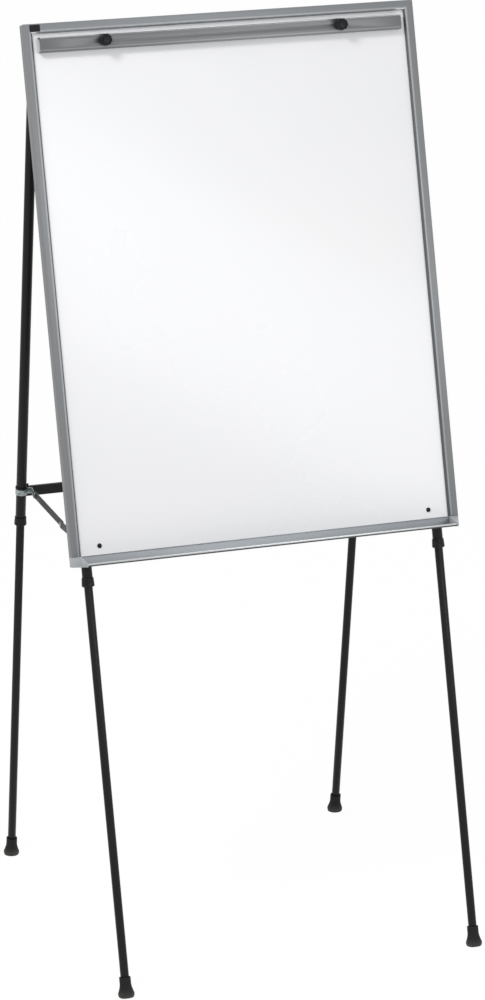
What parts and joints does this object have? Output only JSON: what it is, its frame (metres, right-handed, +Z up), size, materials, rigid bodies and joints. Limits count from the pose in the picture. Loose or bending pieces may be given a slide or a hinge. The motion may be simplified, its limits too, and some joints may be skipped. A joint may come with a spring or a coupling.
{
  "type": "whiteboard easel",
  "caption": "Folding four-legged easel with a framed whiteboard, a clamp bar for paper pads, a marker tray and telescopic legs.",
  "frame": {"origin": "on the floor, in the middle of the outline of the four feet", "axes": "+X to the viewer's right across the board, +Y to the back, towards the rear legs, +Z up"},
  "size_m": [0.6858, 0.6819, 1.552],
  "materials": {
    "frame_aluminium": "satin anodised",
    "tray_aluminium": "satin anodised",
    "bright_aluminium": "bright anodised",
    "retainer_aluminium": "satin anodised, ribbed",
    "white_enamel": "glossy white dry-wipe coat",
    "board_core": "raw fibreboard",
    "backing_paint": "plain mill finish",
    "label_black": "gloss, bare",
    "cap_plastic": "satin grey moulding",
    "zinc": "zinc plated",
    "black_steel": "semi-gloss black powder coat",
    "black_plastic": "semi-gloss black moulding",
    "rubber": "matt black rubber"
  },
  "bodies": {
    "board": {"top_rail": "frame_aluminium", "left_stile": "frame_aluminium", "right_stile": "frame_aluminium", "corner_keys": "zinc", "bottom_rail": "tray_aluminium", "tray_edge_strip": "bright_aluminium", "tray_end_cap_left": "cap_plastic", "tray_end_cap_right": "cap_plastic", "writing_sheet": "white_enamel", "board_core": "board_core", "backing_sheet": "backing_paint", "label_plate": "label_black", "retainer_studs_and_nuts": "zinc", "front_upper_tube_left": "black_steel", "front_upper_tube_right": "black_steel", "front_tube_plugs": "black_plastic", "hinge_bracket_left": "black_steel", "hinge_bracket_right": "black_steel", "apex_pins_and_rivets": "zinc", "lower_bracket_left": "black_steel", "lower_bracket_right": "black_steel", "panel_screws_and_nuts": "black_steel", "front_collets": "black_plastic", "front_brace_rivets": "zinc"},
    "retainer": {"retainer_bar": "retainer_aluminium"},
    "rear_frame": {"rear_upper_tube_left": "black_steel", "rear_upper_tube_right": "black_steel", "rear_tube_plugs": "black_plastic", "cross_bar": "black_steel", "brace_clamp_left": "zinc", "brace_clamp_right": "zinc", "clamp_bolts_and_nuts": "zinc", "rear_brace_rivets": "zinc", "rear_collets": "black_plastic"},
    "knob_left": {"knob_left": "black_plastic"},
    "rear_brace_left": {"rear_link_left": "black_steel", "elbow_rivet_inner_left": "zinc"},
    "front_brace_left": {"front_link_left": "black_steel", "elbow_rivet_outer_left": "zinc"},
    "front_leg_left": {"front_lower_tube_left": "black_steel", "front_guide_bush_left": "black_plastic", "front_foot_left": "rubber"},
    "front_collar_left": {"front_twist_collar_left": "black_plastic"},
    "rear_leg_left": {"rear_lower_tube_left": "black_steel", "rear_guide_bush_left": "black_plastic", "rear_foot_left": "rubber"},
    "rear_collar_left": {"rear_twist_collar_left": "black_plastic"},
    "knob_right": {"knob_right": "black_plastic"},
    "rear_brace_right": {"rear_link_right": "black_steel", "elbow_rivet_inner_right": "zinc"},
    "front_brace_right": {"front_link_right": "black_steel", "elbow_rivet_outer_right": "zinc"},
    "front_leg_right": {"front_lower_tube_right": "black_steel", "front_guide_bush_right": "black_plastic", "front_foot_right": "rubber"},
    "front_collar_right": {"front_twist_collar_right": "black_plastic"},
    "rear_leg_right": {"rear_lower_tube_right": "black_steel", "rear_guide_bush_right": "black_plastic", "rear_foot_right": "rubber"},
    "rear_collar_right": {"rear_twist_collar_right": "black_plastic"}
  },
  "joints": [
    {"name": "rear_fold", "type": "hinge", "parent": "board", "child": "rear_frame", "pos_m": [0, 0.1278, 1.48711], "axis": [-1, 0, 0], "range_deg": [0, 23.5]},
    {"name": "retainer_slide", "type": "slide", "parent": "board", "child": "retainer", "axis": [0, -0.962, 0.2731], "range_m": [0, 0.008]},
    {"name": "knob_left_turn", "type": "hinge", "parent": "retainer", "child": "knob_left", "pos_m": [-0.207, 0.07068, 1.52027], "axis": [0, -0.962, 0.2731], "continuous": true},
    {"name": "rear_brace_left_turn", "type": "hinge", "parent": "rear_frame", "child": "rear_brace_left", "pos_m": [-0.2924, 0.21767, 0.70535], "axis": [-1, 0, 0], "range_deg": [0, 81.3]},
    {"name": "front_brace_left_turn", "type": "hinge", "parent": "board", "child": "front_brace_left", "pos_m": [-0.2924, -0.12508, 0.70442], "axis": [1, 0, 0], "range_deg": [0, 74.76]},
    {"name": "front_leg_left_slide", "type": "slide", "parent": "board", "child": "front_leg_left", "axis": [0, 0.2731, 0.962], "range_m": [0, 0.64]},
    {"name": "front_collar_left_twist", "type": "hinge", "parent": "board", "child": "front_collar_left", "pos_m": [-0.312, -0.13954, 0.66632], "axis": [0, 0.2731, 0.962], "range_deg": [0, 90]},
    {"name": "rear_leg_left_slide", "type": "slide", "parent": "rear_frame", "child": "rear_leg_left", "axis": [0, -0.1331, 0.9911], "range_m": [0, 0.612]},
    {"name": "rear_collar_left_twist", "type": "hinge", "parent": "rear_frame", "child": "rear_collar_left", "pos_m": [-0.312, 0.23902, 0.65908], "axis": [0, -0.1331, 0.9911], "range_deg": [0, 90]},
    {"name": "knob_right_turn", "type": "hinge", "parent": "retainer", "child": "knob_right", "pos_m": [0.207, 0.07068, 1.52027], "axis": [0, -0.962, 0.2731], "continuous": true},
    {"name": "rear_brace_right_turn", "type": "hinge", "parent": "rear_frame", "child": "rear_brace_right", "pos_m": [0.2924, 0.21767, 0.70535], "axis": [-1, 0, 0], "range_deg": [0, 81.3]},
    {"name": "front_brace_right_turn", "type": "hinge", "parent": "board", "child": "front_brace_right", "pos_m": [0.2924, -0.12508, 0.70442], "axis": [1, 0, 0], "range_deg": [0, 74.76]},
    {"name": "front_leg_right_slide", "type": "slide", "parent": "board", "child": "front_leg_right", "axis": [0, 0.2731, 0.962], "range_m": [0, 0.64]},
    {"name": "front_collar_right_twist", "type": "hinge", "parent": "board", "child": "front_collar_right", "pos_m": [0.312, -0.13954, 0.66632], "axis": [0, 0.2731, 0.962], "range_deg": [0, 90]},
    {"name": "rear_leg_right_slide", "type": "slide", "parent": "rear_frame", "child": "rear_leg_right", "axis": [0, -0.1331, 0.9911], "range_m": [0, 0.612]},
    {"name": "rear_collar_right_twist", "type": "hinge", "parent": "rear_frame", "child": "rear_collar_right", "pos_m": [0.312, 0.23902, 0.65908], "axis": [0, -0.1331, 0.9911], "range_deg": [0, 90]}
  ],
  "couplings": [
    {"joint": "rear_brace_left_turn", "follows": "rear_fold", "ratio": 3.447},
    {"joint": "front_brace_left_turn", "follows": "rear_fold", "ratio": 3.1684},
    {"joint": "rear_brace_right_turn", "follows": "rear_fold", "ratio": 3.447},
    {"joint": "front_brace_right_turn", "follows": "rear_fold", "ratio": 3.1684}
  ]
}
